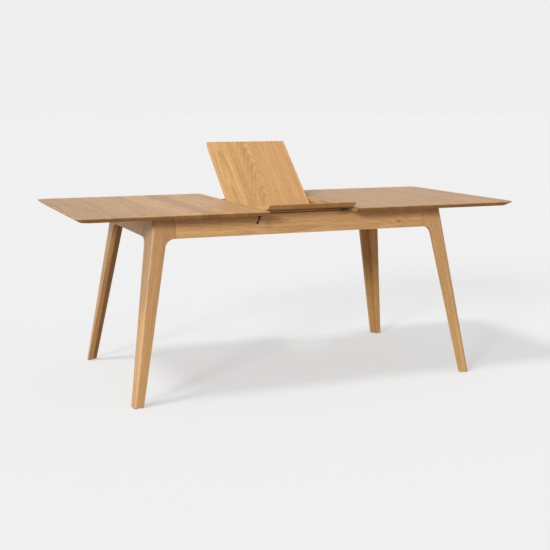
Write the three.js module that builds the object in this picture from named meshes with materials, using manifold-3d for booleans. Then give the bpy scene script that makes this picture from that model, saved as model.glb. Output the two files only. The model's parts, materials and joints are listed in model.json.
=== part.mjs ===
// Extendable dining table with a folding butterfly leaf, in millimetres, +Z up.
// The origin is on the floor under the middle of the table; X runs along the table, Y across it.
// Both half tops are drawn out and the leaf is half unfolded in the gap between them.
import * as THREE from 'three';
import { mergeVertices } from 'three/addons/utils/BufferGeometryUtils.js';
import Module from 'manifold-3d';

const wasm = await Module();
wasm.setup();

// Driving dimensions
const tableHeight = 750;
const topWidth = 898;
const extendedLength = 1918;
const leafGap = 388;          // clear space between the drawn-out half tops
const topThickness = 18;
const undercut = 22;          // how far the underside stands back from the top face
const arrisHeight = 3;        // upright band above the undercut
const planCornerRadius = 38;
const touch = 0.3;            // air left between pieces that rest against each other

const apronTop = 731;
const apronBottom = 647.5;
const apronThickness = 22;
const apronFaceX = 651.5;
const apronFaceY = 351.5;

const cornerX = 638.6;        // outer leg corner, carried up to the table height
const cornerY = 341;
const splayX = 0.1605;        // outward run of that corner for each millimetre down
const splayY = 0.124;
const legRound = 15;          // radius of the rounded outer corner
const legBoard = 20;
const filletRadius = 40;
const frontBoard = { joint: 551, innerAtTop: 571.4, innerRun: 0.195 };
const sideBoard = { joint: 215, innerAtTop: 239, innerRun: 0.212 };
const glideHeight = 3;

const leafLeft = -192.4;
const leafRight = 189.6;
const leafEdgeY = 449;
const foldGap = 0.4;          // half of the joint between the two leaf halves
const pivotY = -290;
const pivotZ = 716;
const leafTilt = 9.5;         // front half, degrees with its front edge up
const leafFold = 50.5;        // angle from flat between the two halves

const slideOuter = 329.2;     // outer side of the slide channel, on the apron's inner face
const slideInner = 311;
const slideTop = 729.5;
const slideBottom = 696;
const bearerNear = 206;
const bearerWidth = 28;

const underTop = tableHeight - topThickness;

function finish(colour, roughness, metalness = 0) {
  return new THREE.MeshStandardMaterial({ color: colour, roughness, metalness });
}

const finishes = {
  oakTop: [0xc8a88a, 0.55],
  oakFrame: [0xb78a5a, 0.55],
  oakLeaf: [0xd0a46e, 0.55],
  oakInner: [0xa87c4c, 0.7],
  blackSteel: [0x1d1b1d, 0.45, 0.7],
  brightSteel: [0xc9ccd0, 0.3, 0.9],
  felt: [0x4a4038, 0.95],
};

function mesh(name, geometry, finishName) {
  const piece = new THREE.Mesh(geometry, finish(...finishes[finishName]));
  piece.name = name;
  return piece;
}

// A box between two corners
function boxBetween(low, high) {
  const size = high.map((value, axis) => value - low[axis]);
  const geometry = new THREE.BoxGeometry(...size);
  geometry.translate(...low.map((value, axis) => (value + high[axis]) / 2));
  return geometry;
}

// A rod between two points
function rod(radius, from, to, sides = 20) {
  const start = new THREE.Vector3(...from);
  const run = new THREE.Vector3(...to).sub(start);
  const geometry = new THREE.CylinderGeometry(radius, radius, run.length(), sides);
  const turn = new THREE.Quaternion();
  turn.setFromUnitVectors(new THREE.Vector3(0, 1, 0), run.clone().normalize());
  geometry.applyQuaternion(turn);
  geometry.translate(...start.addScaledVector(run, 0.5).toArray());
  return geometry;
}

function solid(geometry) {
  const bare = geometry.clone();
  bare.deleteAttribute('normal');
  bare.deleteAttribute('uv');
  const merged = mergeVertices(bare);
  const vertProperties = new Float32Array(merged.attributes.position.array);
  const triVerts = new Uint32Array(merged.index.array);
  return new wasm.Manifold(new wasm.Mesh({ numProp: 3, vertProperties, triVerts }));
}

function fromSolid(body) {
  const { vertProperties, triVerts } = body.getMesh();
  const geometry = new THREE.BufferGeometry();
  geometry.setAttribute('position', new THREE.BufferAttribute(vertProperties, 3));
  geometry.setIndex(new THREE.BufferAttribute(triVerts, 1));
  geometry.computeVertexNormals();
  return geometry;
}

function join(...geometries) {
  return fromSolid(geometries.map(solid).reduce((whole, piece) => whole.add(piece)));
}

function cut(geometry, ...tools) {
  return fromSolid(tools.map(solid).reduce((whole, tool) => whole.subtract(tool), solid(geometry)));
}

// Moves each vertex of a geometry to where the given function puts it
function reshape(geometry, place) {
  const points = geometry.attributes.position;
  for (let i = 0; i < points.count; i += 1) {
    points.setXYZ(i, ...place(points.getX(i), points.getY(i), points.getZ(i)));
  }
  geometry.computeVertexNormals();
  return geometry;
}

function signedVolume(geometry) {
  const points = geometry.attributes.position;
  const corner = (i) => new THREE.Vector3().fromBufferAttribute(points, i);
  let sum = 0;
  for (let i = 0; i < points.count; i += 3) {
    sum += corner(i).dot(corner(i + 1).cross(corner(i + 2)));
  }
  return sum / 6;
}

// Mirrors a closed geometry into its corner of the table and keeps its faces outwards
function outward(geometry, signX, signY) {
  const placed = geometry.index ? geometry.toNonIndexed() : geometry.clone();
  placed.scale(signX, signY, 1);
  if (signedVolume(placed) < 0) {
    const points = placed.attributes.position;
    for (let i = 0; i < points.count; i += 3) {
      const first = new THREE.Vector3().fromBufferAttribute(points, i);
      const second = new THREE.Vector3().fromBufferAttribute(points, i + 1);
      points.setXYZ(i, ...second.toArray());
      points.setXYZ(i + 1, ...first.toArray());
    }
  }
  placed.computeVertexNormals();
  return placed;
}

// The points of a rounded plan corner, anticlockwise
function cornerArc(x, y, toCentre, place) {
  const steps = 8;
  const centre = new THREE.Vector2(x, y).addScaledVector(toCentre, planCornerRadius);
  return Array.from({ length: steps + 1 }, (_, step) => {
    const angle = Math.PI + (place + step / steps) * (Math.PI / 2);
    const spoke = new THREE.Vector2(Math.cos(angle), Math.sin(angle));
    return centre.clone().addScaledVector(spoke, planCornerRadius);
  });
}

// A board with its underside set back on the chosen sides and an upright band at the top
function undercutBoard(low, high, setBack, radius) {
  const [x0, y0] = low;
  const [x1, y1] = high;
  const corners = [
    [x0, y0, radius.left && radius.front],
    [x1, y0, radius.right && radius.front],
    [x1, y1, radius.right && radius.back],
    [x0, y1, radius.left && radius.back],
  ];
  const outline = new THREE.Shape(corners.flatMap(([x, y, round], place) => {
    const toCentre = new THREE.Vector2(Math.sign(x0 + x1 - 2 * x), Math.sign(y0 + y1 - 2 * y));
    return round ? cornerArc(x, y, toCentre, place) : [new THREE.Vector2(x, y)];
  }));
  const bandShare = 1 - arrisHeight / topThickness;
  const options = { depth: topThickness, steps: 2, bevelEnabled: false };
  const geometry = new THREE.ExtrudeGeometry(outline, options);
  return reshape(geometry, (x, y, z) => {
    const level = z / topThickness;
    const height = level > 0.25 && level < 0.75 ? bandShare * topThickness : z;
    if (level > 0.25) {
      return [x, y, underTop + height];
    }
    const shareX = (x - x0) / (x1 - x0);
    const shareY = (y - y0) / (y1 - y0);
    const moveX = setBack.left * (1 - shareX) - setBack.right * shareX;
    const moveY = setBack.front * (1 - shareY) - setBack.back * shareY;
    return [x + moveX, y + moveY, underTop + height];
  });
}

// Legs: two boards mitred together at the outer corner and splayed both ways.
// The outline is drawn in the board's width (along) and height, for the leg on the positive side.
function legOutline(corner, splay, board) {
  const outline = new THREE.Shape();
  const along = (start, run, height) => start + (tableHeight - height) * run;
  const foot = glideHeight + touch;
  const lean = Math.hypot(1, board.innerRun);
  const arcHeight = apronBottom - filletRadius;
  const arcPlace = along(board.innerAtTop, board.innerRun, arcHeight) - filletRadius * lean;
  outline.moveTo(along(corner, splay, foot), foot);
  outline.lineTo(along(corner, splay, apronTop), apronTop);
  outline.lineTo(board.joint, apronTop);
  outline.lineTo(board.joint, apronBottom);
  outline.absarc(arcPlace, arcHeight, filletRadius, Math.PI / 2, Math.atan(board.innerRun), true);
  outline.lineTo(along(board.innerAtTop, board.innerRun, foot), foot);
  outline.closePath();
  return outline;
}

function legBoardGeometry(kind) {
  const front = kind === 'long';
  const [corner, splay] = front ? [cornerX, splayX] : [cornerY, splayY];
  const [otherCorner, otherSplay] = front ? [cornerY, splayY] : [cornerX, splayX];
  const outline = legOutline(corner, splay, front ? frontBoard : sideBoard);
  const options = { depth: legBoard, steps: 1, bevelEnabled: false, curveSegments: 10 };
  const board = new THREE.ExtrudeGeometry(outline, options);
  return reshape(board, (along, height, depth) => {
    const edge = corner + (tableHeight - height) * splay;
    const mitre = Math.abs(along - edge) < 0.01 ? depth + touch : 0;
    const out = otherCorner + (tableHeight - height) * otherSplay - depth;
    const across = along - mitre;
    return front ? [across, out, height] : [out, across, height];
  });
}

// A tool that rounds the outer corner of a leg from top to foot
function legCorner(signX, signY) {
  const past = 5;
  const outline = new THREE.Shape();
  outline.moveTo(-past, -past);
  outline.lineTo(legRound, -past);
  outline.lineTo(legRound, 0);
  outline.absarc(legRound, legRound, legRound, -Math.PI / 2, -Math.PI, true);
  outline.lineTo(-past, legRound);
  outline.closePath();
  const options = { depth: tableHeight, bevelEnabled: false, curveSegments: 10 };
  const tool = new THREE.ExtrudeGeometry(outline, options);
  reshape(tool, (a, b, height) => {
    const drop = tableHeight - height;
    return [cornerX + drop * splayX - a, cornerY + drop * splayY - b, height];
  });
  return outward(tool, signX, signY);
}

function leg(group, end, side) {
  const signX = end === 'left' ? -1 : 1;
  const signY = side === 'front' ? -1 : 1;
  const parts = new THREE.Group();
  for (const kind of ['long', 'end']) {
    const board = cut(outward(legBoardGeometry(kind), signX, signY), legCorner(signX, signY));
    parts.add(mesh(`leg_${side}_${end}_${kind}_board`, board, 'oakFrame'));
  }
  const footX = signX * (cornerX + tableHeight * splayX - legBoard * 0.65);
  const footY = signY * (cornerY + tableHeight * splayY - legBoard * 0.65);
  const glide = rod(legBoard * 0.45, [footX, footY, 0], [footX, footY, glideHeight], 18);
  parts.add(mesh(`foot_glide_${side}_${end}`, glide, 'felt'));
  parts.add(...cornerBlock(end, side, signX, signY));
  group.add(parts);
}

// A three-sided block glued into the angle of each leg, with a bolt through it
const blockReach = 58;
const blockGap = { top: 6, bottom: 8 };   // between the block's ends and the edges of the aprons
const bolt = { shank: 4, bore: 4.4, washer: 8, head: 6.2 };

function cornerBlock(end, side, signX, signY) {
  const near = legBoard + touch;
  const outline = new THREE.Shape();
  outline.moveTo(near, near);
  outline.lineTo(near + blockReach, near);
  outline.lineTo(near, near + blockReach);
  outline.closePath();
  const low = apronBottom + blockGap.bottom;
  const height = apronTop - blockGap.top - low;
  const prism = new THREE.ExtrudeGeometry(outline, { depth: height, bevelEnabled: false });
  reshape(prism, (a, b, up) => {
    const drop = tableHeight - low - up;
    return [cornerX + drop * splayX - a, cornerY + drop * splayY - b, low + up];
  });
  const middle = low + height / 2;
  const cornerDrop = tableHeight - middle;
  const point = (inset, up = middle) => [
    signX * (cornerX + cornerDrop * splayX - inset),
    signY * (cornerY + cornerDrop * splayY - inset),
    up,
  ];
  const faceInset = near + blockReach / 2;
  const screw = join(
    rod(bolt.shank, point(near + 3), point(faceInset + 6), 16),
    rod(bolt.washer, point(faceInset + 2.2), point(faceInset + 3.6), 20),
    rod(bolt.head, point(faceInset + 3.4), point(faceInset + 7.5), 6),
  );
  const hole = rod(bolt.bore, point(near - 3), point(faceInset + 12), 16);
  const block = cut(outward(prism, signX, signY), hole);
  return [
    mesh(`corner_block_${side}_${end}`, block, 'oakInner'),
    mesh(`corner_bolt_${side}_${end}`, screw, 'brightSteel'),
  ];
}

// An apron whose outer face leans with the legs, drawn for the positive side of the table
function apronBoard(kind) {
  const front = kind === 'long';
  const reach = (front ? frontBoard : sideBoard).joint - touch;
  const inner = (front ? apronFaceY : apronFaceX) - apronThickness;
  const board = front
    ? boxBetween([-reach, inner, apronBottom], [reach, apronFaceY, apronTop])
    : boxBetween([inner, -reach, apronBottom], [apronFaceX, reach, apronTop]);
  const [corner, splay] = front ? [cornerY, splayY] : [cornerX, splayX];
  return reshape(board, (x, y, z) => {
    const place = front ? y : x;
    const lean = corner + (tableHeight - z) * splay - touch;
    const moved = place > inner + 1 ? lean : place;
    return front ? [x, moved, z] : [moved, y, z];
  });
}

function baseFrame() {
  const base = new THREE.Group();
  for (const [side, signY] of [['front', -1], ['back', 1]]) {
    base.add(mesh(`apron_${side}`, outward(apronBoard('long'), 1, signY), 'oakFrame'));
    base.add(mesh(`slide_channel_${side}`, slideChannel(signY), 'blackSteel'));
  }
  for (const [end, signX] of [['left', -1], ['right', 1]]) {
    base.add(mesh(`apron_${end}`, outward(apronBoard('end'), signX, 1), 'oakFrame'));
    base.add(...pivotSupport(end, signX));
    leg(base, end, 'front');
    leg(base, end, 'back');
  }
  return base;
}

// A steel channel on the inner face of each long apron, open towards the middle of the table
const channelWall = 3.2;

function slideChannel(signY) {
  const wall = channelWall;
  const reach = frontBoard.joint - 3;
  const shell = boxBetween([-reach, slideInner, slideBottom], [reach, slideOuter, slideTop]);
  const hollow = boxBetween(
    [-reach - 5, slideInner - 5, slideBottom + wall],
    [reach + 5, slideOuter - wall, slideTop - wall],
  );
  const geometry = cut(shell, hollow);
  return outward(geometry, 1, signY);
}

// A cross bearer under the gap, with the steel bracket and pin that the leaf turns on
const bearerBottom = 655;
const bracket = { thickness: 3, halfWidth: 13, bottom: 660, abovePin: 9 };
const pivotPin = { radius: 4, bore: 4.4, inner: 181, outer: 210 };

function pivotSupport(end, signX) {
  const span = (a, b) => [Math.min(signX * a, signX * b), Math.max(signX * a, signX * b)];
  const [low, high] = span(bearerNear, bearerNear + bearerWidth);
  const bearer = boxBetween([low, -slideOuter, bearerBottom], [high, slideOuter, slideBottom - 1]);
  const [near, far] = span(bearerNear - touch - bracket.thickness, bearerNear - touch);
  const plate = boxBetween(
    [near, pivotY - bracket.halfWidth, bracket.bottom],
    [far, pivotY + bracket.halfWidth, pivotZ + bracket.abovePin],
  );
  const bore = rod(pivotPin.bore, [near - 5, pivotY, pivotZ], [far + 5, pivotY, pivotZ]);
  const [inner, outer] = [signX * pivotPin.inner, signX * pivotPin.outer];
  const pin = rod(pivotPin.radius, [inner, pivotY, pivotZ], [outer, pivotY, pivotZ]);
  return [
    mesh(`cross_bearer_${end}`, bearer, 'oakInner'),
    mesh(`pivot_bracket_${end}`, cut(plate, bore), 'brightSteel'),
    mesh(`pivot_pin_${end}`, pin, 'brightSteel'),
  ];
}

// Half tops with the battens and slide runners fixed under them
const batten = { width: 30, halfLength: 262, bottom: 712, places: { inner: 236, outer: 558 } };

function halfTop(end) {
  const signX = end === 'left' ? -1 : 1;
  const left = end === 'left';
  const top = new THREE.Group();
  const [inner, outer] = [signX * (leafGap / 2), signX * (extendedLength / 2)];
  const low = [Math.min(inner, outer), -topWidth / 2];
  const high = [Math.max(inner, outer), topWidth / 2];
  const setBack = { left: left ? undercut : 0, right: left ? 0 : undercut, front: undercut, back: undercut };
  const round = { left, right: !left, front: true, back: true };
  top.add(mesh(`top_${end}`, undercutBoard(low, high, setBack, round), 'oakTop'));
  for (const [place, from] of Object.entries(batten.places)) {
    const [a, b] = [signX * from, signX * (from + batten.width)];
    const strip = boxBetween(
      [Math.min(a, b), -batten.halfLength, batten.bottom],
      [Math.max(a, b), batten.halfLength, underTop - touch],
    );
    top.add(mesh(`top_${end}_batten_${place}`, strip, 'oakInner'));
  }
  for (const [side, signY] of [['front', -1], ['back', 1]]) {
    top.add(mesh(`slide_runner_${end}_${side}`, slideRunner(signX, signY), 'blackSteel'));
  }
  return top;
}

// The moving half of a slide: a bar inside the channel and a web up to the half top
const runnerBar = { start: 205, length: 320, inner: 305.5, outer: 323.5, web: 309.5, bottom: 703, top: 723 };

function slideRunner(signX, signY) {
  const { inner, outer, web, bottom, top } = runnerBar;
  const profile = new THREE.Shape();
  profile.moveTo(inner, bottom);
  profile.lineTo(outer, bottom);
  profile.lineTo(outer, top);
  profile.lineTo(web, top);
  profile.lineTo(web, underTop - touch);
  profile.lineTo(inner, underTop - touch);
  profile.closePath();
  const runner = new THREE.ExtrudeGeometry(profile, { depth: runnerBar.length, bevelEnabled: false });
  reshape(runner, (y, z, x) => [runnerBar.start + x, y, z]);
  return outward(runner, signX, signY);
}

// A small swinging latch under the overhanging edge of the left half top
const latchPivot = { x: -223, y: 413, z: 722 };
const latchPin = { radius: 1.6, bore: 2 };
const latchPlate = { left: 16, right: 10, back: 30, thickness: 2.5 };
const latchLug = { halfWidth: 6, front: 6, back: 3, below: 5 };
const latchLever = {
  halfWidth: 2.4, padHalfWidth: 3.6, near: -1.6, far: 2.4, top: 3.6, padTop: -17, tip: -26,
};
const leverLean = 30;         // degrees from straight down

function latch(side) {
  const signY = side === 'front' ? -1 : 1;
  const group = new THREE.Group();
  const place = (geometry) => outward(geometry, 1, signY);
  const { x, y, z } = latchPivot;
  const high = underTop - touch;
  const plate = boxBetween(
    [x - latchPlate.left, y - latchPlate.back, high - latchPlate.thickness],
    [x + latchPlate.right, y - latchLug.back, high],
  );
  const lug = boxBetween(
    [x - latchLug.halfWidth, y - latchLug.front, z - latchLug.below],
    [x + latchLug.halfWidth, y - latchLug.back, high - 1],
  );
  const mount = cut(join(plate, lug), rod(latchPin.bore, [x, y - 20, z], [x, y + 20, z], 14));
  group.add(mesh(`latch_plate_${side}`, place(mount), 'blackSteel'));
  const pin = rod(latchPin.radius, [x, y - 9, z], [x, y + 3.5, z], 14);
  group.add(mesh(`latch_pin_${side}`, place(pin), 'brightSteel'));
  const { halfWidth, padHalfWidth, near, far, top, padTop, tip } = latchLever;
  const arm = boxBetween([-halfWidth, near, tip], [halfWidth, far, top]);
  const pad = boxBetween([-padHalfWidth, near, tip], [padHalfWidth, far, padTop]);
  const lever = cut(join(arm, pad), rod(latchPin.bore, [0, -20, 0], [0, 20, 0], 14));
  lever.rotateY(THREE.MathUtils.degToRad(leverLean));
  lever.translate(x, y, z);
  group.add(mesh(`latch_lever_${side}`, place(lever), 'blackSteel'));
  return group;
}

// The folding leaf, drawn flat in use and then turned to its half-open pose
const hinge = { halfWidth: 18, depth: 14, bottom: 733.5, top: 744, room: 0.4 };
const hingePlaces = [-140, -1.4, 137.2];
const cleat = { left: -152, right: 149.2, near: 50, far: 90, bottom: 717 };

function hingeCup(x, side) {
  const inner = side === 'front' ? -1 : 1;
  const [a, b] = [inner * (foldGap + 0.2), inner * hinge.depth];
  return boxBetween(
    [x - hinge.halfWidth, Math.min(a, b), hinge.bottom],
    [x + hinge.halfWidth, Math.max(a, b), hinge.top],
  );
}

function hingePocket(x, side) {
  const inner = side === 'front' ? -1 : 1;
  const [a, b] = [inner * -3, inner * (hinge.depth + hinge.room)];
  return boxBetween(
    [x - hinge.halfWidth - hinge.room, Math.min(a, b), hinge.bottom - hinge.room],
    [x + hinge.halfWidth + hinge.room, Math.max(a, b), hinge.top + hinge.room],
  );
}

function leafHalf(side) {
  const half = new THREE.Group();
  const front = side === 'front';
  const low = [leafLeft, front ? -leafEdgeY : foldGap];
  const high = [leafRight, front ? -foldGap : leafEdgeY];
  const setBack = { left: 0, right: 0, front: front ? undercut : 0, back: front ? 0 : undercut };
  const board = undercutBoard(low, high, setBack, {});
  const pockets = hingePlaces.map((x) => hingePocket(x, side));
  half.add(mesh(`leaf_${side}`, cut(board, ...pockets), 'oakLeaf'));
  hingePlaces.forEach((x, count) => {
    half.add(mesh(`leaf_hinge_${side}_${count + 1}`, hingeCup(x, side), 'brightSteel'));
  });
  const [a, b] = front ? [-cleat.far, -cleat.near] : [cleat.near, cleat.far];
  const strip = boxBetween([cleat.left, a, cleat.bottom], [cleat.right, b, underTop - touch]);
  half.add(mesh(`leaf_cleat_${side}`, strip, 'oakInner'));
  return half;
}

// A steel angle under the front half, bored for the pivot pin
const lug = { webNear: 184, webFar: 187, flangeNear: 164, halfWidth: 13, belowPin: 10, flange: 1.8 };
const flangeReach = { front: 36, back: 20 };

function leafLug(end, signX) {
  const span = (near, far) => [Math.min(signX * near, signX * far), Math.max(signX * near, signX * far)];
  const [low, high] = span(lug.webNear, lug.webFar);
  const [flangeLow, flangeHigh] = span(lug.flangeNear, lug.webFar);
  const web = boxBetween(
    [low, pivotY - lug.halfWidth, pivotZ - lug.belowPin],
    [high, pivotY + lug.halfWidth, underTop - touch],
  );
  const flange = boxBetween(
    [flangeLow, pivotY - flangeReach.front, underTop - touch - lug.flange],
    [flangeHigh, pivotY + flangeReach.back, underTop - touch],
  );
  const bore = rod(pivotPin.bore, [low - 5, pivotY, pivotZ], [high + 5, pivotY, pivotZ]);
  return mesh(`pivot_lug_${end}`, cut(join(web, flange), bore), 'brightSteel');
}

// Puts a group drawn around the table's origin into a frame turned about an axis along X
function turnedAbout(axisY, axisZ, degrees, ...pieces) {
  const turned = new THREE.Group();
  turned.position.set(0, axisY, axisZ);
  turned.rotation.x = THREE.MathUtils.degToRad(degrees);
  const content = new THREE.Group();
  content.position.set(0, -axisY, -axisZ);
  content.add(...pieces);
  turned.add(content);
  return turned;
}

function foldingLeaf() {
  const backHalf = turnedAbout(0, tableHeight, leafFold, leafHalf('back'));
  const lugs = [leafLug('left', -1), leafLug('right', 1)];
  return turnedAbout(pivotY, pivotZ, -leafTilt, leafHalf('front'), ...lugs, backHalf);
}

const table = new THREE.Group();
table.name = 'extendable_dining_table';
table.add(baseFrame(), halfTop('left'), halfTop('right'));
table.add(latch('front'), latch('back'), foldingLeaf());

export default table;
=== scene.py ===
import json
import math

import bmesh
import bpy
from mathutils import Matrix, Vector
from mathutils.kdtree import KDTree


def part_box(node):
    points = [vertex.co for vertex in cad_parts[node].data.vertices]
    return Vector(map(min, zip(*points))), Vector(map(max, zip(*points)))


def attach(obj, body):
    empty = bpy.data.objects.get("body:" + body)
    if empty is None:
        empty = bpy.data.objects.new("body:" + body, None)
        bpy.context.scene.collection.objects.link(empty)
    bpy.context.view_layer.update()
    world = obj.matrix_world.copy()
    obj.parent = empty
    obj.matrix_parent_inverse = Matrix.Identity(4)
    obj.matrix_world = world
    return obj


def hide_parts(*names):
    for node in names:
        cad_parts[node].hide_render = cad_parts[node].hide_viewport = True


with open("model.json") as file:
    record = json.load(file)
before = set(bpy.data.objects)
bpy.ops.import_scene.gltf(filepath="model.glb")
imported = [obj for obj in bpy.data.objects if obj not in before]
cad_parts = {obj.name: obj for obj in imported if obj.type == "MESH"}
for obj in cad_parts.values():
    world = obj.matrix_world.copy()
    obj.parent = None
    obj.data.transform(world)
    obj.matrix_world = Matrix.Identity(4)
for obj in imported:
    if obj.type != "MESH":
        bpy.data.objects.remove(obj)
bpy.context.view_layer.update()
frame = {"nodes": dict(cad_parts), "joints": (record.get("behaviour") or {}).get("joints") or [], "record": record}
cadNodes = frame["nodes"]
bodies = frame["record"]["behaviour"]["bodies"]
bodyOf = {node: body for body, members in bodies.items() for node in members}
slotOf = {part["node"]: part["material_slot"] for part in frame["record"]["subparts"]}
joints = {joint["name"]: joint for joint in frame["joints"]}
print("frame loaded:", len(cadNodes), "nodes")

mm = 0.001


# Small helpers for shader and geometry trees
def addNode(tree, kind, inputs=None, **settings):
    node = tree.nodes.new(kind)
    for name, value in settings.items():
        setattr(node, name, value)
    for key, value in (inputs or {}).items():
        if isinstance(value, bpy.types.NodeSocket):
            tree.links.new(value, node.inputs[key])
        else:
            node.inputs[key].default_value = value
    return node


def calc(tree, operation, *values, clamp=False):
    node = addNode(tree, "ShaderNodeMath", dict(enumerate(values)), operation=operation)
    node.use_clamp = clamp
    return node.outputs[0]


def swing(tree, value, size, onto=0.0):  # a value from 0 to 1, swung either side of onto
    return calc(tree, "MULTIPLY_ADD", calc(tree, "SUBTRACT", value, 0.5), size, onto)


def spread(tree, vector, factors):
    node = addNode(tree, "ShaderNodeVectorMath", {0: vector, 1: factors}, operation="MULTIPLY")
    return node.outputs[0]


def reach(tree, vector):
    node = addNode(tree, "ShaderNodeVectorMath", {0: vector}, operation="LENGTH")
    return node.outputs["Value"]


def noise(tree, vector, detail=2.0, roughness=0.5, distortion=0.0):
    settings = {"Vector": vector, "Scale": 1.0, "Detail": detail, "Roughness": roughness}
    node = addNode(tree, "ShaderNodeTexNoise", settings)
    node.inputs["Distortion"].default_value = distortion
    return node.outputs["Fac"]


def band(tree, value, low, high, toLow=0.0, toHigh=1.0):
    inputs = {"Value": value, "From Min": low, "From Max": high, "To Min": toLow, "To Max": toHigh}
    node = addNode(tree, "ShaderNodeMapRange", inputs, interpolation_type="SMOOTHSTEP")
    return node.outputs["Result"]


def blendColour(tree, factor, first, second, kind="MIX"):
    node = addNode(tree, "ShaderNodeMix", data_type="RGBA", blend_type=kind)
    for place, value in ((0, factor), (6, first), (7, second)):
        if isinstance(value, bpy.types.NodeSocket):
            tree.links.new(value, node.inputs[place])
        else:
            node.inputs[place].default_value = value
    return node.outputs[2]


def roughen(tree, shader, height, strength, distance):
    inputs = {"Height": height, "Strength": strength, "Distance": distance}
    tree.links.new(addNode(tree, "ShaderNodeBump", inputs).outputs[0], shader.inputs["Normal"])


def newMaterial(name):
    material = bpy.data.materials.new(name)
    material.use_nodes = True
    tree = material.node_tree
    shader = tree.nodes["Principled BSDF"]
    return material, tree, shader


# Oak: a solid pattern of growth rings, fibres and pores that follows each board's grain
oakLook = {
    "pale": (0.580, 0.335, 0.132, 1),
    "dark": (0.330, 0.152, 0.050, 1),
    "rosy": (0.535, 0.285, 0.118, 1),
    "honey": (0.620, 0.372, 0.140, 1),
    "pore": (0.150, 0.072, 0.030, 1),
    "knot": (0.120, 0.055, 0.022, 1),
    # painted shade for the dark gap seen under the leaf
    "paintedGapShade": (0.030, 0.016, 0.018, 1),
    "ringWidth": 0.0085,
    "ringStrength": 0.62,
    "heartNear": 0.012,  # the heart's least depth below the face
    "heartSpan": 0.10,  # and how much deeper it may lie
    "heartSwing": 1.5,  # how far it may lie from the stave's middle, in stave widths
    "taper": 0.16,
    "bend": 0.055,
    "wave": 0.016,
    "knots": (),
    "poreStrength": 0.5,
    "streaks": 0.62,
    "tone": 1.0,
    "toneSpread": 0.22,
    "roughness": 0.46,
}

oakMarks = {  # how often each kind of mark comes in a metre: across, along and through the board
    "bend": (5.0, 1.7, 5.0),
    "fibre": (330.0, 7.0, 330.0),
    "ripple": (24.0, 2.2, 24.0),
    "pore": (900.0, 30.0, 900.0),
    "streak": (34.0, 1.1, 34.0),
    "cloud": (4.0, 1.6, 4.0),
}
staveEdge = {"waves": 37.0, "swing": 0.012}  # keeps the staves from being all one width


def grainTurn(along, across):
    y = Vector(along).normalized()
    x = (Vector(across) - y * Vector(across).dot(y)).normalized()
    return Matrix((x, y, x.cross(y))).transposed().to_euler()


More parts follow.
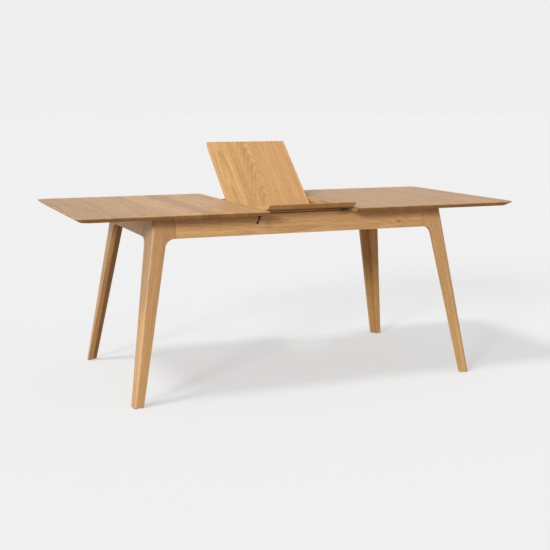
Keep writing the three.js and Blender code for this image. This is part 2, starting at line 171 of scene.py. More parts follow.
def oak(name, board):
    material, tree, shader = newMaterial(name)
    look = {**oakLook, **board}
    objectPlace = addNode(tree, "ShaderNodeTexCoord").outputs["Object"]
    mapping = addNode(tree, "ShaderNodeMapping", {"Vector": objectPlace}, vector_type="TEXTURE")
    mapping.inputs["Location"].default_value = look["centre"]
    mapping.inputs["Rotation"].default_value = grainTurn(look["along"], look["across"])
    place = addNode(tree, "ShaderNodeSeparateXYZ", {0: mapping.outputs[0]})
    across, along, depth = place.outputs[0], place.outputs[1], place.outputs[2]

    # each glued stave is cut from another board, so it has its own heart and tone
    stave = look["stave"]
    wave = calc(tree, "SINE", calc(tree, "MULTIPLY", across, staveEdge["waves"]))
    wander = calc(tree, "MULTIPLY", wave, staveEdge["swing"])
    count = calc(tree, "FLOOR", calc(tree, "DIVIDE", calc(tree, "ADD", across, wander), stave))
    dice = addNode(tree, "ShaderNodeTexWhiteNoise", noise_dimensions="1D")
    tree.links.new(calc(tree, "ADD", count, look["seed"] * 7.31), dice.inputs["W"])
    rolls = addNode(tree, "ShaderNodeSeparateColor", {0: dice.outputs["Color"]})
    rollA, rollB, rollC = rolls.outputs[0], rolls.outputs[1], rolls.outputs[2]
    shiftedAlong = calc(tree, "ADD", along, calc(tree, "MULTIPLY", rollB, 5.0))
    staveMiddle = calc(tree, "MULTIPLY", calc(tree, "ADD", count, 0.5), stave)
    inStave = calc(tree, "SUBTRACT", across, staveMiddle)
    inBoard = {0: inStave, 1: shiftedAlong, 2: depth}
    woodPlace = addNode(tree, "ShaderNodeCombineXYZ", inBoard).outputs[0]

    # rings round the heart, which wanders along the board and so draws arches on its face
    slowBend = noise(tree, spread(tree, woodPlace, oakMarks["bend"]), 2.0)
    bend = swing(tree, slowBend, look["bend"])
    heartAcross = swing(tree, rollA, stave * look["heartSwing"])
    heartDepth = calc(tree, "MULTIPLY_ADD", rollC, look["heartSpan"], look["heartNear"])
    taper = swing(tree, rollB, look["taper"])
    sideways = calc(tree, "ADD", calc(tree, "SUBTRACT", inStave, heartAcross), bend)
    downwards = calc(tree, "MULTIPLY_ADD", along, taper, calc(tree, "SUBTRACT", depth, heartDepth))
    heartLine = addNode(tree, "ShaderNodeCombineXYZ", {0: sideways, 1: downwards}).outputs[0]
    radius = reach(tree, heartLine)
    fibre = noise(tree, spread(tree, woodPlace, oakMarks["fibre"]), 3.0, 0.6)
    ripple = noise(tree, spread(tree, woodPlace, oakMarks["ripple"]), 2.0)
    jitter = swing(tree, ripple, look["wave"], swing(tree, fibre, 0.0026))
    ringPlace = calc(tree, "ADD", radius, jitter)

    # knots push the rings aside and darken the wood round them
    knotShade = None
    for knot in look["knots"]:
        local = Vector(knot["at"]) - Vector(look["centre"])
        local.rotate(grainTurn(look["along"], look["across"]).to_matrix().transposed())
        centred = {0: mapping.outputs[0], 1: local}
        offset = addNode(tree, "ShaderNodeVectorMath", centred, operation="SUBTRACT")
        squeezed = spread(tree, offset.outputs[0], (1.0, 0.42, 0.25))
        away = reach(tree, squeezed)
        push = band(tree, away, 0.0, knot["size"] * 4.5, knot["size"] * 1.7, 0.0)
        ringPlace = calc(tree, "ADD", ringPlace, push)
        core = band(tree, away, knot["size"] * 0.35, knot["size"], knot["shade"], 0.0)
        knotShade = core if knotShade is None else calc(tree, "MAXIMUM", knotShade, core)

    turns = calc(tree, "DIVIDE", ringPlace, look["ringWidth"])
    phase = calc(tree, "FRACT", turns)
    darkening = band(tree, phase, 0.15, 0.82)
    lateWood = calc(tree, "MULTIPLY", darkening, band(tree, phase, 0.86, 1.0, 1.0, 0.0))
    ringDice = addNode(tree, "ShaderNodeTexWhiteNoise", noise_dimensions="1D")
    tree.links.new(calc(tree, "FLOOR", turns), ringDice.inputs["W"])
    ringForce = calc(tree, "MULTIPLY_ADD", ringDice.outputs["Value"], 0.75, 0.35)
    ringMark = calc(tree, "MULTIPLY", lateWood, ringForce)
    ringMark = calc(tree, "MULTIPLY", ringMark, look["ringStrength"])

    # open pores in the early wood, and broad streaks along the board
    poreNoise = noise(tree, spread(tree, woodPlace, oakMarks["pore"]), 1.0)
    earlyWood = band(tree, lateWood, 0.0, 0.7, 1.0, 0.25)
    pores = calc(tree, "MULTIPLY", band(tree, poreNoise, 0.56, 0.68), earlyWood)
    streaks = noise(tree, spread(tree, woodPlace, oakMarks["streak"]), 3.0, 0.65)
    clouds = noise(tree, spread(tree, woodPlace, oakMarks["cloud"]), 2.0)
    warm = calc(tree, "ADD", swing(tree, streaks, 1.5), rollA, clamp=True)
    ground = blendColour(tree, warm, look["rosy"], look["honey"])
    ground = blendColour(tree, band(tree, clouds, 0.3, 0.7, 0.2, 0.8), ground, look["pale"])
    colour = blendColour(tree, ringMark, ground, look["dark"])
    fibreMark = band(tree, fibre, 0.30, 0.62, 0.30, 0.0)
    colour = blendColour(tree, fibreMark, colour, look["dark"])
    poreMark = calc(tree, "MULTIPLY", pores, look["poreStrength"])
    colour = blendColour(tree, poreMark, colour, look["pore"])
    if knotShade is not None:
        colour = blendColour(tree, knotShade, colour, look["knot"])
    tone = swing(tree, rollC, look["toneSpread"], look["tone"])
    tone = swing(tree, streaks, look["streaks"], tone)

    # handled arrises are rubbed a little paler and smoother
    arris = addNode(tree, "ShaderNodeAttribute", attribute_name="arris").outputs["Fac"]
    tone = calc(tree, "MULTIPLY_ADD", arris, 0.10, tone)
    toneColour = addNode(tree, "ShaderNodeCombineColor", {0: tone, 1: tone, 2: tone}).outputs[0]
    colour = blendColour(tree, 1.0, colour, toneColour, "MULTIPLY")
    if "paintedShadeAbove" in look:
        # painted shade: the upper edge is painted near black to stand for the dark gap under the leaf
        upwards = addNode(tree, "ShaderNodeSeparateXYZ", {0: objectPlace}).outputs[2]
        paintedShadeMask = calc(tree, "GREATER_THAN", upwards, look["paintedShadeAbove"])
        colour = blendColour(tree, paintedShadeMask, colour, look["paintedGapShade"])
    tree.links.new(colour, shader.inputs["Base Color"])

    rough = calc(tree, "MULTIPLY_ADD", lateWood, -0.07, look["roughness"])
    rough = calc(tree, "MULTIPLY_ADD", pores, 0.20, rough)
    rough = calc(tree, "MULTIPLY_ADD", arris, -0.06, rough)
    tree.links.new(rough, shader.inputs["Roughness"])
    height = calc(tree, "MULTIPLY_ADD", pores, -1.2, calc(tree, "MULTIPLY", fibre, 0.5))
    height = calc(tree, "MULTIPLY_ADD", lateWood, 0.25, height)
    roughen(tree, shader, height, 0.35, 0.0004)
    return material


# The steel and felt finishes
def coatedSteel(name, colour, roughness):
    material, tree, shader = newMaterial(name)
    place = addNode(tree, "ShaderNodeTexCoord").outputs["Object"]
    grit = noise(tree, spread(tree, place, (2600.0, 2600.0, 2600.0)), 3.0, 0.65)
    patch = noise(tree, spread(tree, place, (22.0, 22.0, 22.0)), 3.0)
    arris = addNode(tree, "ShaderNodeAttribute", attribute_name="arris").outputs["Fac"]
    lighter = tuple(min(1.0, channel * 1.7 + 0.02) for channel in colour[:3]) + (1,)
    handled = band(tree, patch, 0.35, 0.75, 0.0, 0.35)
    worn = calc(tree, "MULTIPLY_ADD", arris, 0.45, handled, clamp=True)
    tree.links.new(blendColour(tree, worn, colour, lighter), shader.inputs["Base Color"])
    rough = calc(tree, "MULTIPLY_ADD", patch, 0.16, roughness - 0.08)
    tree.links.new(rough, shader.inputs["Roughness"])
    shader.inputs["Specular IOR Level"].default_value = 0.22
    roughen(tree, shader, grit, 0.22, 0.0001)
    return material


def platedSteel(name, colour, roughness):
    material, tree, shader = newMaterial(name)
    place = addNode(tree, "ShaderNodeTexCoord").outputs["Object"]
    brushed = noise(tree, spread(tree, place, (60.0, 1800.0, 1800.0)), 3.0, 0.7)
    patch = noise(tree, spread(tree, place, (45.0, 45.0, 45.0)), 3.0)
    darker = tuple(channel * 0.72 for channel in colour[:3]) + (1,)
    cloudy = band(tree, patch, 0.35, 0.70, 0.0, 0.8)
    tree.links.new(blendColour(tree, cloudy, colour, darker), shader.inputs["Base Color"])
    shader.inputs["Metallic"].default_value = 1.0
    rough = calc(tree, "MULTIPLY_ADD", brushed, 0.22, roughness - 0.08)
    tree.links.new(rough, shader.inputs["Roughness"])
    roughen(tree, shader, brushed, 0.15, 0.0001)
    return material


def pressedFelt(name, colour):
    material, tree, shader = newMaterial(name)
    place = addNode(tree, "ShaderNodeTexCoord").outputs["Object"]
    hairs = noise(tree, spread(tree, place, (1500.0, 1500.0, 600.0)), 4.0, 0.75, 1.5)
    pale = tuple(min(1.0, channel * 1.9) for channel in colour[:3]) + (1,)
    fluff = band(tree, hairs, 0.35, 0.7)
    tree.links.new(blendColour(tree, fluff, colour, pale), shader.inputs["Base Color"])
    shader.inputs["Roughness"].default_value = 0.95
    shader.inputs["Sheen Weight"].default_value = 0.3
    roughen(tree, shader, hairs, 0.6, 0.0006)
    return material


blackSteel = coatedSteel("blackCoatedSteel", (0.010, 0.006, 0.008, 1), 0.62)
zincSteel = platedSteel("zincPlatedSteel", (0.72, 0.73, 0.75, 1), 0.30)
brownFelt = pressedFelt("pressedFelt", (0.050, 0.040, 0.032, 1))
print("metal and felt finishes made")


# Mesh making
def cadCopy(*names):
    bm = bmesh.new()
    for name in names:
        bm.from_mesh(cadNodes[name].data)
    bmesh.ops.remove_doubles(bm, verts=bm.verts, dist=1e-5)
    return bm


def squareUp(bm):
    bmesh.ops.dissolve_limit(bm, angle_limit=math.radians(0.4), verts=bm.verts, edges=bm.edges)


def sharpEdges(bm, degrees=25.0):
    limit = math.radians(degrees)
    return [e for e in bm.edges if len(e.link_faces) == 2 and e.calc_face_angle(0.0) > limit]


def ease(bm, edges, width, segments, arris):
    made = bmesh.ops.bevel(
        bm, geom=edges, offset=width, offset_type="OFFSET", segments=segments,
        profile=0.5, affect="EDGES", clamp_overlap=True,
    )
    for face in made["faces"]:
        face[arris] = 1.0


def pieceFrom(bm, name, material, degrees=30.0):
    mesh = bpy.data.meshes.new(name)
    bmesh.ops.recalc_face_normals(bm, faces=bm.faces)
    bm.to_mesh(mesh)
    bm.free()
    mesh.polygons.foreach_set("use_smooth", [True] * len(mesh.polygons))
    mesh.set_sharp_from_angle(angle=math.radians(degrees))
    mesh.materials.append(material)
    piece = bpy.data.objects.new(name, mesh)
    bpy.context.scene.collection.objects.link(piece)
    even = piece.modifiers.new("evenNormals", "WEIGHTED_NORMAL")
    even.keep_sharp = True
    return piece


def settle(piece, body, slot, *replaced):
    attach(piece, body)
    if replaced:
        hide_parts(*replaced)


def easedCopy(name, pieceName, material, width, segments=3):
    bm = cadCopy(name)
    squareUp(bm)
    arris = bm.faces.layers.float.new("arris")
    ease(bm, sharpEdges(bm), width, segments, arris)
    piece = pieceFrom(bm, pieceName, material)
    settle(piece, bodyOf[name], slotOf[name], name)


def middle(name):
    low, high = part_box(name)
    return (low + high) / 2


# Half tops: edge-glued staves running across the table
topLook = {
    "stave": 0.096, "toneSpread": 0.20, "heartSpan": 0.06, "ringStrength": 0.90, "streaks": 0.7,
    "along": (0, 1, 0), "across": (1, 0, 0), "arris": 0.9 * mm,
}
topBoards = {
    "left": {"seed": 3, "tone": 0.93},
    "right": {"seed": 11, "tone": 0.87},
}

for side, board in topBoards.items():
    node = f"top_{side}"
    low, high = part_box(node)
    grain = {**topLook, **board, "centre": (low.x, 0.0, high.z)}
    easedCopy(node, f"halfTop_{side}", oak(f"oakTop_{side}", grain), topLook["arris"])
print("half tops made")


# Folding leaf: the two halves are one glued board cut in two, so the figure runs on
leafBoard = {
    "seed": 29, "stave": 0.132, "tone": 0.96, "ringStrength": 0.50, "streaks": 0.6, "bend": 0.045,
    "heartSpan": 0.03, "heartNear": 0.004, "heartSwing": 0.25, "taper": -0.40, "across": (1, 0, 0),
    "shift": 0.10,  # from the leaf's left edge to where its first stave is counted
    "arris": 0.8 * mm,
}
leafTilt = math.radians(9.5)  # the front half's lean in the resting pose
leafFold = math.radians(50.5)  # the angle from flat between the two halves
leafLines = {
    "front": (0, math.cos(leafTilt), -math.sin(leafTilt)),
    "back": (0, math.cos(leafFold - leafTilt), math.sin(leafFold - leafTilt)),
}

leafHinge = Vector(joints["leaf_fold"]["pos_m"])

for half, along in leafLines.items():
    node = f"leaf_{half}"
    low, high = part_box(node)
    centre = (low.x + leafBoard["shift"], leafHinge.y, leafHinge.z)
    grain = {**leafBoard, "centre": centre, "along": along}
    easedCopy(node, f"leafHalf_{half}", oak(f"oakLeaf_{half}", grain), leafBoard["arris"])
print("leaf made")


# Aprons, with painted shade along the top edge for the dark gap under the leaf
apronLook = {
    "stave": 0.6, "heartSpan": 0.05, "heartNear": 0.03, "ringStrength": 0.45, "tone": 1.03,
    "across": (0, 0, 1), "arris": 0.9 * mm,
    "rise": 0.1,  # from the board's middle up to where its stave is counted
    # above this height the apron is painted dark as shade
    "paintedShadeAbove": 0.7304,
}
frontKnots = [
    {"at": (0.438, -0.3515, 0.676), "size": 0.0065, "shade": 0.65},
    {"at": (0.182, -0.3515, 0.722), "size": 0.016, "shade": 0.25},
]
apronBoards = {
    "front": {"seed": 5, "along": (1, 0, 0), "knots": frontKnots},
    "back": {"seed": 6, "along": (1, 0, 0)},
    "left": {"seed": 7, "along": (0, 1, 0)},
    "right": {"seed": 8, "along": (0, 1, 0)},
}

for side, board in apronBoards.items():
    node = f"apron_{side}"
    centre = middle(node) + Vector((0, 0, apronLook["rise"]))
    grain = {**apronLook, **board, "centre": centre}
    easedCopy(node, f"apronBoard_{side}", oak(f"oakApron_{side}", grain), apronLook["arris"])
print("aprons made")


# Legs: two boards closed into one mitred, rounded corner
legLook = {
    "stave": 0.9, "heartSpan": 0.03, "heartNear": 0.11, "taper": 0.02, "bend": 0.03,
    "ringStrength": 0.45, "arris": 1.6 * mm,
    "mitreGap": 0.6 * mm,  # points of the two boards nearer than this are closed up
}
legBoards = {
    "front_left": {"seed": 40, "tone": 0.86},
    "front_right": {"seed": 41, "tone": 0.93},
    "back_left": {"seed": 42, "tone": 0.84},
    "back_right": {"seed": 43, "tone": 0.85},
}


def closeMitre(bm):
    finder = KDTree(len(bm.verts))
    for i, vert in enumerate(bm.verts):
        finder.insert(vert.co, i)
    finder.balance()
    bm.verts.ensure_lookup_table()
    mitre = set()
    for vert in bm.verts:
        found = finder.find_range(vert.co, legLook["mitreGap"])
        near = [hit[1] for hit in found if hit[1] != vert.index]
        if near:
            mitre.add(vert.index)
            other = bm.verts[near[0]].co
            if vert.index < near[0]:
                x = max(vert.co.x, other.x, key=abs)
                y = max(vert.co.y, other.y, key=abs)
                vert.co = (x, y, vert.co.z)
                other[:] = (x, y, vert.co.z)
    inner = [f for f in bm.faces if all(v.index in mitre for v in f.verts)]
    bmesh.ops.delete(bm, geom=inner, context="FACES_ONLY")
    loose = [e for e in bm.edges if not e.link_faces]
    bmesh.ops.delete(bm, geom=loose, context="EDGES")
    bmesh.ops.remove_doubles(bm, verts=bm.verts, dist=1e-5)


def cornerLine(bm):  # the outermost point of the foot, and the run of the outer corner
    def spreadOut(vert):
        return abs(vert.co.x) + abs(vert.co.y)

    lowest = min(v.co.z for v in bm.verts)
    highest = max(v.co.z for v in bm.verts)
    foot = max((v for v in bm.verts if v.co.z < lowest + mm), key=spreadOut)
    top = max((v for v in bm.verts if v.co.z > highest - mm), key=spreadOut)
    return foot.co.copy(), (foot.co - top.co).normalized()


def makeLeg(place, board):
    names = [f"leg_{place}_long_board", f"leg_{place}_end_board"]
    signX = 1 if middle(names[0]).x > 0 else -1
    signY = 1 if middle(names[0]).y > 0 else -1
    bm = cadCopy(*names)
    bm.verts.index_update()
    closeMitre(bm)
    squareUp(bm)
    arris = bm.faces.layers.float.new("arris")
    foot, down = cornerLine(bm)
    ease(bm, sharpEdges(bm), legLook["arris"], 3, arris)
    across = (signX, -signY * 0.6, 0)
    grain = {**legLook, **board, "centre": foot, "along": down, "across": across}
    piece = pieceFrom(bm, f"leg_{place}", oak(f"oakLeg_{place}", grain))
    settle(piece, "base", slotOf[names[0]], *names)


for place, board in legBoards.items():
    makeLeg(place, board)
print("legs made")


# Plain timber inside the frame and under the tops
innerTimber = {
    "rosy": (0.47, 0.27, 0.13, 1), "honey": (0.50, 0.30, 0.13, 1), "pale": (0.49, 0.30, 0.15, 1),
    "roughness": 0.62, "stave": 0.5, "heartNear": 0.04, "heartSpan": 0.05, "arris": 1.2 * mm,
}


def timber(name, along, across, seed):
    grain = {**innerTimber, "centre": middle(name), "along": along, "across": across, "seed": seed}
    easedCopy(name, f"timber_{name}", oak(f"oakPlain_{name}", grain), innerTimber["arris"])


seed = 60
for end in ("left", "right"):
    for place in ("inner", "outer"):
        timber(f"top_{end}_batten_{place}", (0, 1, 0), (1, 0, 0), seed)
        seed += 1
    timber(f"cross_bearer_{end}", (0, 1, 0), (0, 0, 1), seed)
    for side in ("front", "back"):
        timber(f"corner_block_{side}_{end}", (0, 0, 1), (1, 0, 0), seed + 7)
        seed += 1
for half in ("front", "back"):
    timber(f"leaf_cleat_{half}", (1, 0, 0), leafLines[half], seed)
    seed += 1
print("inner timber made")


# Metalwork
steelPieces = [
    (("slide_", "latch_plate"), blackSteel, 0.5 * mm, 2),
    (("pivot_bracket", "pivot_lug", "leaf_hinge", "corner_bolt"), zincSteel, 0.3 * mm, 2),
    (("pivot_pin", "latch_pin"), zincSteel, 0.4 * mm, 3),
    (("latch_lever",), blackSteel, 0.9 * mm, 4),
]

for starts, finish, width, segments in steelPieces:
    for name in sorted(n for n in cadNodes if n.startswith(starts)):
        easedCopy(name, f"steel_{name}", finish, width, segments)
print("metalwork made")


# Felt glides, each a soft pad in a shallow cup
glideLook = {
    "sides": 40,
    "profile": [
        (0.0, 0.0), (7.2, 0.0), (7.9, 0.25), (8.2, 0.8), (8.2, 1.5),
        (8.7, 1.6), (9.0, 1.9), (9.0, 2.8), (8.8, 3.0), (0.0, 3.0),
    ],
}


def lathe(profile, sides, centre):  # the profile is in millimetres
    bm = bmesh.new()
    rings = []
    angles = [2 * math.pi * k / sides for k in range(sides)]
    for radius, height in profile:
        spokes = [Vector((math.cos(t) * radius, math.sin(t) * radius, height)) for t in angles]
        if radius == 0:
            spokes = spokes[:1]
        rings.append([bm.verts.new(centre + spoke * mm) for spoke in spokes])
    for below, above in zip(rings, rings[1:]):
        for k in range(sides):
            corners = [below[k % len(below)], below[(k + 1) % len(below)]]
            corners += [above[(k + 1) % len(above)], above[k % len(above)]]
            bm.faces.new(list(dict.fromkeys(corners)))
    return bm


for name in sorted(n for n in cadNodes if n.startswith("foot_glide")):
    low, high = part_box(name)
    centre = Vector(((low.x + high.x) / 2, (low.y + high.y) / 2, low.z))
    pad = lathe(glideLook["profile"], glideLook["sides"], centre)
    piece = pieceFrom(pad, f"glide_{name}", brownFelt, 40)
    settle(piece, bodyOf[name], slotOf[name], name)
print("glides made")


# Rows of screws and balls, placed by small geometry trees
screwLook = {"headRadius": 3.6, "headHeight": 1.5, "recess": 0.7, "sides": 24}


def screwHead():
    radius, height = screwLook["headRadius"], screwLook["headHeight"]
    recessFloor = height - screwLook["recess"]
    profile = [
        (0.0, -0.2), (radius, -0.2), (radius, 0.15), (radius * 0.93, height * 0.45),
        (radius * 0.70, height * 0.82), (radius * 0.42, height), (radius * 0.30, height),
        (radius * 0.22, recessFloor), (0.0, recessFloor),
    ]
    bm = lathe(profile, screwLook["sides"], Vector((0, 0, 0)))
    mesh = bpy.data.meshes.new("screwHead")
    bmesh.ops.recalc_face_normals(bm, faces=bm.faces)
    bm.to_mesh(mesh)
    bm.free()
    mesh.polygons.foreach_set("use_smooth", [True] * len(mesh.polygons))
    mesh.set_sharp_from_angle(angle=math.radians(38))
    head = bpy.data.objects.new("screwHead", mesh)
    bpy.context.scene.collection.objects.link(head)
    return head


def rowTree(name, shape):
    tree = bpy.data.node_groups.new(name, "GeometryNodeTree")
    face = tree.interface
    face.new_socket("Geometry", in_out="OUTPUT", socket_type="NodeSocketGeometry")
    for socket, kind in (
        ("Count", "Int"), ("Start", "Vector"), ("Step", "Vector"), ("Facing", "Vector"),
        ("Seed", "Int"), ("Finish", "Material"), *shape,
    ):
        face.new_socket(socket, in_out="INPUT", socket_type=f"NodeSocket{kind}")
    given = tree.nodes.new("NodeGroupInput").outputs
    line = addNode(tree, "GeometryNodeMeshLine", {
        "Count": given["Count"], "Start Location": given["Start"], "Offset": given["Step"],
    })
    towards = {"Vector": given["Facing"]}
    facing = addNode(tree, "FunctionNodeAlignRotationToVector", towards, axis="Z")
    spin = addNode(tree, "FunctionNodeRandomValue", {"Seed": given["Seed"]}, data_type="FLOAT")
    tree.links.new(addNode(tree, "GeometryNodeInputIndex").outputs[0], spin.inputs["ID"])
    angle = calc(tree, "MULTIPLY", spin.outputs[1], math.pi)
    around = addNode(tree, "ShaderNodeCombineXYZ", {2: angle}).outputs[0]
    turned = addNode(tree, "FunctionNodeRotateRotation", rotation_space="LOCAL")
    tree.links.new(facing.outputs[0], turned.inputs[0])
    tree.links.new(around, turned.inputs[1])
    placed = tree.nodes.new("GeometryNodeInstanceOnPoints")
    tree.links.new(line.outputs[0], placed.inputs["Points"])
    tree.links.new(turned.outputs[0], placed.inputs["Rotation"])
    real = tree.nodes.new("GeometryNodeRealizeInstances")
    tree.links.new(placed.outputs[0], real.inputs[0])
    painted = tree.nodes.new("GeometryNodeSetMaterial")
    tree.links.new(real.outputs[0], painted.inputs["Geometry"])
    tree.links.new(given["Finish"], painted.inputs["Material"])
    tree.links.new(painted.outputs[0], tree.nodes.new("NodeGroupOutput").inputs[0])
    return tree, given, placed


def screwRowTree():
    tree, given, placed = rowTree("screwRow", [("Head", "Object")])
    chosen = {"Object": given["Head"]}
    source = addNode(tree, "GeometryNodeObjectInfo", chosen, transform_space="ORIGINAL")
    tree.links.new(source.outputs["Geometry"], placed.inputs["Instance"])
    return tree


def ballRowTree():
    tree, given, placed = rowTree("ballRow", [("Radius", "Float")])
    shape = {"Segments": 16, "Rings": 10, "Radius": given["Radius"]}
    ball = addNode(tree, "GeometryNodeMeshUVSphere", shape)
    smooth = addNode(tree, "GeometryNodeSetShadeSmooth", {0: ball.outputs[0]})
    tree.links.new(smooth.outputs[0], placed.inputs["Instance"])
    return tree


def growRow(name, tree, body, slot, finish, rows, **shape):
    whole = bmesh.new()
    for number, row in enumerate(rows):
        holder = bpy.data.objects.new("rowHolder", bpy.data.meshes.new("rowHolder"))
        bpy.context.scene.collection.objects.link(holder)
        grow = holder.modifiers.new("grow", "NODES")
        grow.node_group = tree
        values = {"Finish": finish, "Seed": number, **shape, **row}
        for item in tree.interface.items_tree:
            if item.in_out == "INPUT":
                grow[item.identifier] = values[item.name]
        depsgraph = bpy.context.evaluated_depsgraph_get()
        grown = bpy.data.meshes.new_from_object(holder.evaluated_get(depsgraph))
        holder.modifiers.remove(grow)
        bpy.data.objects.remove(holder)
        whole.from_mesh(grown)
        bpy.data.meshes.remove(grown)
    settle(pieceFrom(whole, name, finish, 38), body, slot)


screws = screwRowTree()
balls = ballRowTree()
head = screwHead()


def pointRow(start, step, count, facing):
    return {"Start": start, "Step": step, "Count": count, "Facing": facing}


def growScrews(name, body, rows):
    growRow(name, screws, body, "bright_steel", zincSteel, rows, Head=head)


down = (0.0, 0.0, -1.0)
screwPlaces = {
    "batten": {"first": -0.235, "pitch": 0.094, "count": 6},
    "bearer": {"stagger": 0.006, "reach": (0.30, 0.315)},
    "bracket": {"first": 0.668, "pitch": 0.017, "y": -0.290},
    "channel": {"first": -0.15, "pitch": 0.10, "count": 4, "y": 0.3258, "z": 0.712},
}

for end, sign in (("left", -1), ("right", 1)):
    rows = []
    look = screwPlaces["batten"]
    for place in ("inner", "outer"):
        low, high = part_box(f"top_{end}_batten_{place}")
        start = ((low.x + high.x) / 2, look["first"], low.z)
        rows.append(pointRow(start, (0, look["pitch"], 0), look["count"], down))
    growScrews(f"battenScrews_{end}", f"{end}_top", rows)

    look = screwPlaces["bearer"]
    low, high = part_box(f"cross_bearer_{end}")
    rows = []
    for offset, reach in zip((-look["stagger"], look["stagger"]), look["reach"]):
        start = ((low.x + high.x) / 2 + offset, -reach, low.z)
        rows.append(pointRow(start, (0, 2 * reach, 0), 2, down))
    growScrews(f"bearerScrews_{end}", "base", rows)

    look = screwPlaces["bracket"]
    low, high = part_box(f"pivot_bracket_{end}")
    start = (low.x if sign > 0 else high.x, look["y"], look["first"])
    rows = [pointRow(start, (0, 0, look["pitch"]), 2, (-sign, 0, 0))]
    growScrews(f"bracketScrews_{end}", "base", rows)

look = screwPlaces["channel"]
rows = []
for side in (-1, 1):
    start = (look["first"], side * look["y"], look["z"])
    rows.append(pointRow(start, (look["pitch"], 0, 0), look["count"], (0, -side, 0)))
growScrews("channelScrews", "base", rows)
print("screws made")

ballRows = {
    "radius": 1.45 * mm, "pitch": 0.008, "count": 34,
    "x": 0.235, "y": 0.3145, "z": 0.70111,
}

for end, sign in (("left", -1), ("right", 1)):
    rows = []
    for side in (-1, 1):
        start = (sign * ballRows["x"], side * ballRows["y"], ballRows["z"])
        rows.append(pointRow(start, (sign * ballRows["pitch"], 0, 0), ballRows["count"], (0, 0, 1)))
    name = f"slideBalls_{end}"
    growRow(name, balls, f"{end}_top", "bright_steel", zincSteel, rows, Radius=ballRows["radius"])
print("slide balls made")


# Screws through the cleats and lugs of the leaf, which lean with it
leafScrews = {
    "cleat": {"along": 0.070, "first": -0.12, "pitch": 0.0596, "count": 5, "below": 0.033},
    "lug": {"along": (-0.2790, -0.2985), "across": 0.174, "below": 0.0201},
}


def leafPoint(half, along, across, below):
    run = Vector(leafLines[half])
    up = Vector((0, -run.z, run.y))
    return leafHinge + Vector((across, 0, 0)) + run * along - up * below, -up


for half, sign in (("front", -1), ("back", 1)):
    look = leafScrews["cleat"]
    start, facing = leafPoint(half, sign * look["along"], look["first"], look["below"])
    rows = [pointRow(start, (look["pitch"], 0, 0), look["count"], facing)]
    if half == "front":
        look = leafScrews["lug"]
        for across in (-look["across"], look["across"]):
            near, facing = leafPoint(half, look["along"][0], across, look["below"])
            far = leafPoint(half, look["along"][1], across, look["below"])[0]
            rows.append(pointRow(near, far - near, 2, facing))
    growScrews(f"leafScrews_{half}", f"{half}_leaf", rows)
bpy.data.objects.remove(head)
print("leaf screws made")


# Camera, light and floor
cameraLook = {
    "place": (-1.6968, -4.1964, 1.1686),
    "yaw": 22.124,
    "pitch": 9.452,
    "focal": 67.20,
    "sensor": 36.0,
}


def makeCamera():
    camera = bpy.data.cameras.new("viewCamera")
    camera.lens = cameraLook["focal"]
    camera.sensor_width = cameraLook["sensor"]
    camera.clip_end = 200.0
    holder = bpy.data.objects.new("viewCamera", camera)
    holder.location = cameraLook["place"]
    tilt = math.radians(90 - cameraLook["pitch"])
    holder.rotation_euler = (tilt, 0.0, -math.radians(cameraLook["yaw"]))
    bpy.context.scene.collection.objects.link(holder)
    bpy.context.scene.camera = holder


studio = {
    "horizonLevel": 0.863,
    "zenithLevel": 0.38,
    "zenithBand": (0.22, 0.70),  # heights between which the sky goes from one to the other
    "underColour": (0.34, 0.225, 0.13),  # light thrown up from a warm floor
    "underBand": (-0.30, -0.02),
    "leftGlow": 0.6,  # a large soft panel low on the left
    "leftBand": (-0.92, -0.45),
    "leftHeight": (0.05, 0.5),
    "keyPower": 1.86,
    "keySoftness": 12.0,
    "keyFrom": (-0.62, -0.10, 1.0),
    "fillPower": 2.35,
    "fillSoftness": 13.0,
    "fillFrom": (-0.72, -0.66, 0.33),
    "floorDiffuse": 0.30,
    "floorGlow": 0.502,
}


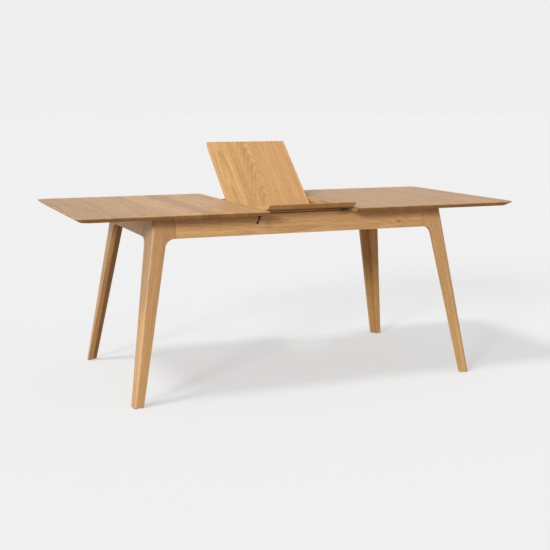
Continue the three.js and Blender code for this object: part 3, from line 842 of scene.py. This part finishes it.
def makeSky():
    world = bpy.data.worlds.new("studioSky")
    bpy.context.scene.world = world
    world.use_nodes = True
    tree = world.node_tree
    place = addNode(tree, "ShaderNodeTexCoord").outputs["Generated"]
    height = addNode(tree, "ShaderNodeSeparateXYZ", {0: place}).outputs[2]
    aside = addNode(tree, "ShaderNodeSeparateXYZ", {0: place}).outputs[0]
    level = band(tree, height, *studio["zenithBand"], studio["horizonLevel"], studio["zenithLevel"])
    leftwards = band(tree, aside, *studio["leftBand"], 1.0, 0.0)
    lowLeft = calc(tree, "MULTIPLY", leftwards, band(tree, height, *studio["leftHeight"], 1.0, 0.0))
    level = calc(tree, "MULTIPLY_ADD", lowLeft, studio["leftGlow"], level)
    above = addNode(tree, "ShaderNodeCombineColor", {0: level, 1: level, 2: level}).outputs[0]
    below = (*studio["underColour"], 1)
    colour = blendColour(tree, band(tree, height, *studio["underBand"]), below, above)
    tree.links.new(colour, tree.nodes["Background"].inputs["Color"])


def makeSun(name, power, softness, source):
    light = bpy.data.lights.new(name, "SUN")
    light.energy = power
    light.angle = math.radians(softness)
    holder = bpy.data.objects.new(name, light)
    holder.rotation_euler = Vector(source).to_track_quat("Z", "Y").to_euler()
    bpy.context.scene.collection.objects.link(holder)


def makeFloor():
    bm = bmesh.new()
    bmesh.ops.create_grid(bm, x_segments=1, y_segments=1, size=90.0)
    mesh = bpy.data.meshes.new("studioFloor")
    bm.to_mesh(mesh)
    bm.free()
    material, tree, shader = newMaterial("paleFloor")
    white = studio["floorDiffuse"]
    shader.inputs["Base Color"].default_value = (white, white, white, 1)
    shader.inputs["Roughness"].default_value = 1.0
    shader.inputs["Specular IOR Level"].default_value = 0.0
    shader.inputs["Emission Color"].default_value = (1, 1, 1, 1)
    shader.inputs["Emission Strength"].default_value = studio["floorGlow"]
    mesh.materials.append(material)
    floor = bpy.data.objects.new("studioFloor", mesh)
    floor.visible_diffuse = False
    floor.visible_glossy = False
    bpy.context.scene.collection.objects.link(floor)


makeCamera()
makeSky()
makeSun("softKey", studio["keyPower"], studio["keySoftness"], studio["keyFrom"])
makeSun("lowFill", studio["fillPower"], studio["fillSoftness"], studio["fillFrom"])
makeFloor()
bpy.context.scene.view_settings.view_transform = "Standard"
print("studio made")
